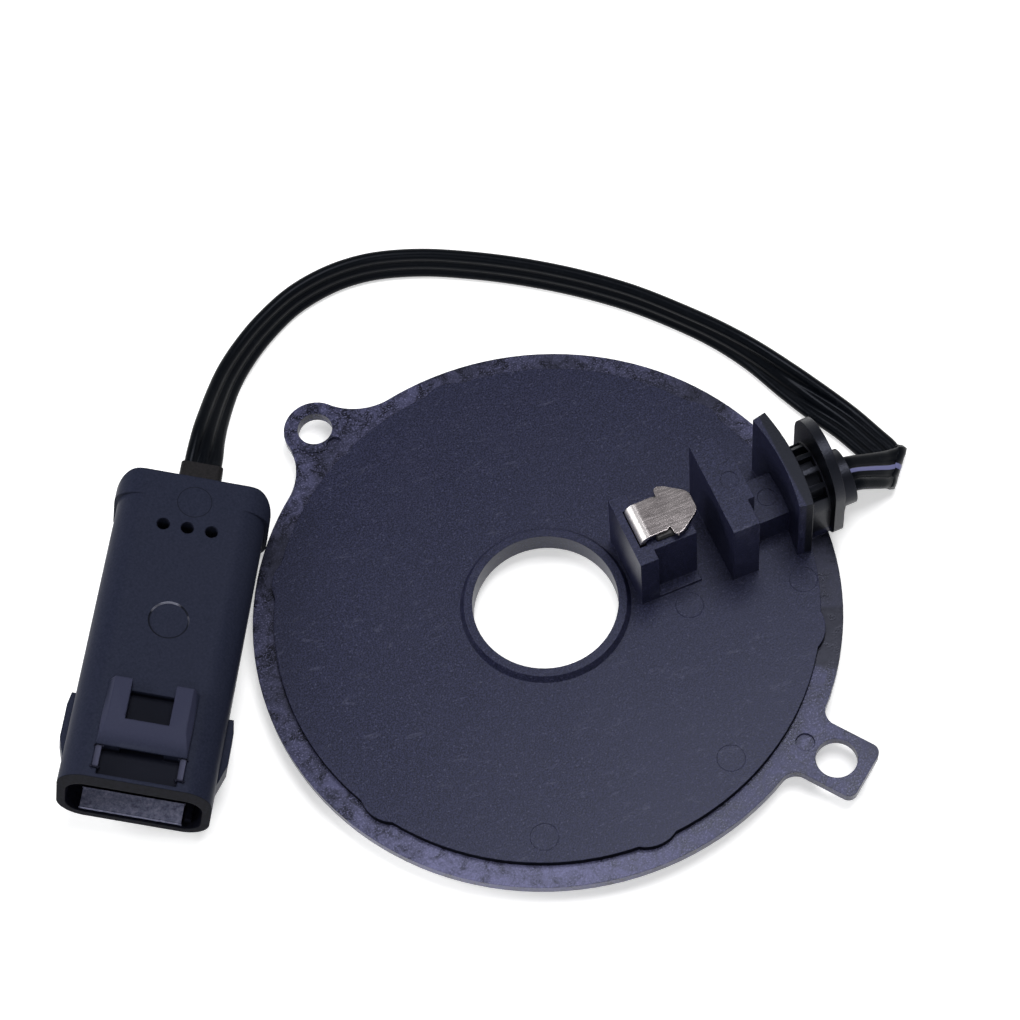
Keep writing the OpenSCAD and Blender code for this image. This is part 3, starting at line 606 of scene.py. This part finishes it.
def connector_material():
    s = Shader("connector_moulding")
    along, across, up = s.local()
    fine = s.noise(2600, 4, 0.65)
    cloud = s.noise(70, 3, 0.55)
    color = s.over((0.011, 0.0135, 0.026), fine, 0.3, 0.75, 1.0, (0.020, 0.023, 0.042))
    color = s.over(color, cloud, 0.4, 0.75, 0.4, (0.019, 0.021, 0.036))
    # Painted shade: the window behind the lock's bar and the recess before it are dark
    sunk_shade = s.times(
        s.above(along, 36.9 * MM, 37.3 * MM), s.above(up, 12.4 * MM, 12.7 * MM),
        s.below(along, RECESS_END * MM, (RECESS_END + 0.1) * MM),
        s.below(up, (CONN_H - 0.9) * MM, (CONN_H - 0.3) * MM),
        s.below(s.math("ABSOLUTE", across), RECESS_HALF * MM, (RECESS_HALF + 0.1) * MM))
    color = s.mix(sunk_shade, color, (0.004, 0.0045, 0.009))
    # Marks of ejector pins: one in the middle with a painted highlight on its rim, a faint one at the tail
    mark = s.ring(along, across, 24.9, 0.0, 2.95, 0.16)
    color = s.mix(mark, color, (0.006, 0.007, 0.012))
    rim_highlight = s.ramp(s.noise(260, 2, 0.5), 0.46, 0.0, 0.62, 1.0)
    color = s.mix(s.times(mark, rim_highlight), color, (0.20, 0.205, 0.26))
    color = s.mix(s.ring(along, across, 4.4, 0.3, 2.6, 0.08), color, (0.006, 0.007, 0.013))
    # Painted highlight: the ribs and the raised lock are a little lighter
    rib = s.times(s.above(up, (CONN_H + 0.08) * MM, (CONN_H + 0.2) * MM), s.above(along, 46.9 * MM, 47 * MM))
    color = s.mix(rib, color, (0.060, 0.062, 0.100))
    raised_highlight = s.times(s.above(up, (CONN_H + 0.3) * MM, (CONN_H + 1.4) * MM), 0.7)
    color = s.mix(raised_highlight, color, (0.036, 0.038, 0.070))
    s.set(Base_Color=color, Roughness=s.ramp(cloud, 0.3, 0.42, 0.7, 0.52))
    s.set(Specular_IOR_Level=0.05, Specular_Tint=(0.8, 0.85, 1.0))
    s.bump(fine, 0.15, 0.00004, edge=0.00035)
    return s.material


# Pale painted light on the bar on the mouth's floor, standing in for the light that reaches it through the
# mouth
def floor_bar_painted_light_material():
    s = Shader("mouth_floor_painted_light")
    fine = s.noise(1500, 5, 0.75)
    color = s.over((0.10, 0.106, 0.17), fine, 0.35, 0.7, 1.0, (0.34, 0.35, 0.50))
    s.set(Base_Color=color, Roughness=0.6, Specular_IOR_Level=0.15)
    s.bump(fine, 0.3, 0.00006)
    return s.material


# Near-black painted shade, for the inside of the mouth and the wall of the step round the disk
def painted_shade_material(name):
    s = Shader(name)
    fine = s.noise(1800, 4, 0.7)
    color = s.over((0.002, 0.0022, 0.004), fine, 0.35, 0.7, 1.0, (0.007, 0.0075, 0.014))
    s.set(Base_Color=color, Roughness=0.5, Specular_IOR_Level=0.02)
    s.bump(fine, 0.2, 0.00004, edge=0.0003)
    return s.material


def collar_material():
    s = Shader("collar_moulding")
    fine = s.noise(2200, 4, 0.65)
    color = s.over((0.004, 0.004, 0.005), fine, 0.3, 0.75, 1.0, (0.016, 0.014, 0.016))
    s.set(Base_Color=color, Roughness=s.ramp(fine, 0.3, 0.42, 0.7, 0.6), Specular_IOR_Level=0.1)
    s.bump(fine, 0.15, 0.00004)
    return s.material


def lead_material():
    """Black insulation, with a tracer line along the middle core of one side."""
    s = Shader("lead_jacket")
    dust = s.noise(900, 4, 0.7)
    color = s.over((0.0012, 0.0018, 0.0030), dust, 0.55, 0.85, 0.6, (0.010, 0.012, 0.016))
    split = s.add("ShaderNodeSeparateXYZ")
    s.link(s.add("ShaderNodeUVMap", uv_map="along").outputs["UV"], split.inputs["Vector"])
    off = s.math("ABSOLUTE", s.math("SUBTRACT", split.outputs["X"], TRACER_SIDE))
    color = s.mix(s.below(off, 0.10, 0.13), color, (0.16, 0.165, 0.32))
    s.set(Base_Color=color, Roughness=s.ramp(s.noise(90, 3, 0.5), 0.3, 0.26, 0.7, 0.36))
    s.set(Specular_IOR_Level=0.07, Specular_Tint=(0.8, 0.85, 1.0))
    s.bump(dust, 0.15, 0.00004, edge=None)
    return s.material


def steel_material():
    """Bright scratched steel, lighter over the pole piece's bend by a painted highlight, and duller there."""
    s = Shader("pole_strip")
    scratch = s.noise(900, 5, 0.7, stretch=(0.25, 3.0, 1.0))
    color = s.over((0.22, 0.20, 0.205), s.noise(260, 4, 0.6), 0.35, 0.7, 1.0, (0.36, 0.33, 0.335))
    x, y, z = s.axes()
    # Painted highlight: a lighter colour over the bend
    bend = s.times(s.below(x, 0.0158, 0.0166), s.above(z, 0.0154, 0.0162))
    color = s.mix(bend, color, (0.72, 0.69, 0.69))
    rough = s.mix(bend, s.ramp(scratch, 0.3, 0.13, 0.75, 0.24), (0.34, 0.34, 0.34))
    s.set(Base_Color=color, Metallic=1.0, Roughness=rough)
    s.bump(scratch, 0.16, 0.00003, edge=0.00012)
    return s.material


def magnet_material():
    s = Shader("magnet_block")
    grain = s.noise(1500, 5, 0.75)
    color = s.over((0.03, 0.03, 0.034), grain, 0.3, 0.7, 1.0, (0.085, 0.083, 0.085))
    s.set(Base_Color=color, Metallic=0.6, Roughness=s.ramp(grain, 0.3, 0.5, 0.7, 0.7))
    s.bump(grain, 0.35, 0.00006)
    return s.material


def resin_material():
    s = Shader("chip_resin")
    grain = s.noise(1800, 4, 0.7)
    color = s.over((0.010, 0.010, 0.011), grain, 0.3, 0.7, 1.0, (0.026, 0.025, 0.025))
    s.set(Base_Color=color, Roughness=s.ramp(grain, 0.3, 0.5, 0.7, 0.68))
    s.bump(grain, 0.3, 0.00005)
    return s.material


def tinned_material():
    s = Shader("tinned_metal")
    grain = s.noise(1600, 4, 0.6, stretch=(1.0, 0.3, 1.0))
    color = s.over((0.52, 0.51, 0.48), grain, 0.3, 0.7, 1.0, (0.70, 0.69, 0.66))
    s.set(Base_Color=color, Metallic=1.0, Roughness=s.ramp(grain, 0.3, 0.25, 0.7, 0.42))
    s.bump(grain, 0.1, 0.00003)
    return s.material


MATERIALS = {"plate_plastic": plate_material(), "connector_plastic": connector_material(),
             "lead_jacket": lead_material(), "pole_steel": steel_material(),
             "magnet_metal": magnet_material(), "chip_resin": resin_material(),
             "tinned_metal": tinned_material()}


def paint(piece, *materials):
    """The piece's slots hold these materials, in this order."""
    slots = piece.data.materials
    while slots:
        slots.pop()
    for material in materials:
        slots.append(material)


for part in frame["record"]["subparts"]:
    paint(nodes[part["node"]], MATERIALS[part["material_slot"]])
paint(nodes["cable_collar"], collar_material())
paint(ribbon, MATERIALS["lead_jacket"])
paint(plate, MATERIALS["plate_plastic"], flange_material(), painted_shade_material("disk_step"))
paint(housing, MATERIALS["connector_plastic"], floor_bar_painted_light_material(), painted_shade_material("mouth_inside_shade"))
paint(pole, MATERIALS["pole_steel"])

# Floor, light and world
FLOOR_HALF = 2.0
FLOOR_GLOW = 0.45
FILL = 0.18
# The ceiling's strength in reflections, and where it starts and is reached, as the direction's height
CEILING = 0.35
CEILING_FROM, CEILING_TO = 0.3, 0.75
LAMP_SIZE = 0.30
LAMPS = [("overhead", (0.12, 0.05, 0.62), 2.6), ("side", (-0.52, 0.20, 0.42), 2.1),
         ("front", (-0.25, -0.45, 0.50), 0.9)]


def make_floor():
    """Pale paper that the camera and reflections see as white, shadows apart."""
    mesh = bpy.data.meshes.new("floor")
    corners = [(-FLOOR_HALF, -FLOOR_HALF, 0), (FLOOR_HALF, -FLOOR_HALF, 0),
               (FLOOR_HALF, FLOOR_HALF, 0), (-FLOOR_HALF, FLOOR_HALF, 0)]
    mesh.from_pydata(corners, [], [(0, 1, 2, 3)])
    floor = bpy.data.objects.new("floor", mesh)
    floor.location = (0, 0, FLOOR_Z)
    bpy.context.scene.collection.objects.link(floor)
    s = Shader("floor_paper")
    s.set(Base_Color=s.ramp(s.noise(300, 3, 0.5), 0.3, 0.90, 0.7, 0.92), Roughness=0.9,
          Specular_IOR_Level=0.0)
    path = s.add("ShaderNodeLightPath").outputs
    reflected = s.math("MAXIMUM", path["Is Glossy Ray"], path["Is Transmission Ray"])
    glow = s.times(s.math("MAXIMUM", path["Is Camera Ray"], reflected), FLOOR_GLOW)
    s.set(Emission_Color=(1.0, 1.0, 1.0), Emission_Strength=glow)
    paint(floor, s.material)


def make_world():
    """White for the camera and round the horizon in reflections, with a dimmer ceiling in reflections."""
    world = bpy.data.worlds.new("studio")
    bpy.context.scene.world = world
    world.use_nodes = True
    tree = world.node_tree
    tree.nodes.clear()

    def background(color, strength):
        node = tree.nodes.new("ShaderNodeBackground")
        node.inputs["Color"].default_value = (*color, 1.0)
        node.inputs["Strength"].default_value = strength
        return node

    def larger(one, two):
        node = tree.nodes.new("ShaderNodeMath")
        node.operation = "MAXIMUM"
        tree.links.new(one, node.inputs[0])
        tree.links.new(two, node.inputs[1])
        return node.outputs["Value"]

    path = tree.nodes.new("ShaderNodeLightPath").outputs
    split = tree.nodes.new("ShaderNodeSeparateXYZ")
    tree.links.new(tree.nodes.new("ShaderNodeTexCoord").outputs["Generated"], split.inputs["Vector"])
    ceiling = tree.nodes.new("ShaderNodeMapRange")
    ceiling.interpolation_type = "SMOOTHSTEP"
    settings = {"From Min": CEILING_FROM, "From Max": CEILING_TO, "To Min": 1.0, "To Max": CEILING}
    for name, value in settings.items():
        ceiling.inputs[name].default_value = value
    tree.links.new(split.outputs["Z"], ceiling.inputs["Value"])
    fill = background((0.95, 0.97, 1.0), FILL)
    white = background((1.0, 1.0, 1.0), 1.0)
    tree.links.new(larger(ceiling.outputs["Result"], path["Is Camera Ray"]), white.inputs["Strength"])
    reflected = larger(path["Is Glossy Ray"], path["Is Transmission Ray"])
    mix = tree.nodes.new("ShaderNodeMixShader")
    tree.links.new(larger(path["Is Camera Ray"], reflected), mix.inputs["Fac"])
    tree.links.new(fill.outputs["Background"], mix.inputs[1])
    tree.links.new(white.outputs["Background"], mix.inputs[2])
    out = tree.nodes.new("ShaderNodeOutputWorld")
    tree.links.new(mix.outputs["Shader"], out.inputs["Surface"])


def make_lamp(name, at, power):
    """A round lamp aimed at the origin."""
    data = bpy.data.lights.new(name, "AREA")
    data.shape = "DISK"
    data.size = LAMP_SIZE
    data.energy = power
    lamp = bpy.data.objects.new(name, data)
    lamp.location = at
    lamp.rotation_mode = "QUATERNION"
    lamp.rotation_quaternion = (-Vector(at)).to_track_quat("-Z", "Y")
    bpy.context.scene.collection.objects.link(lamp)


make_floor()
make_world()
for lamp_settings in LAMPS:
    make_lamp(*lamp_settings)
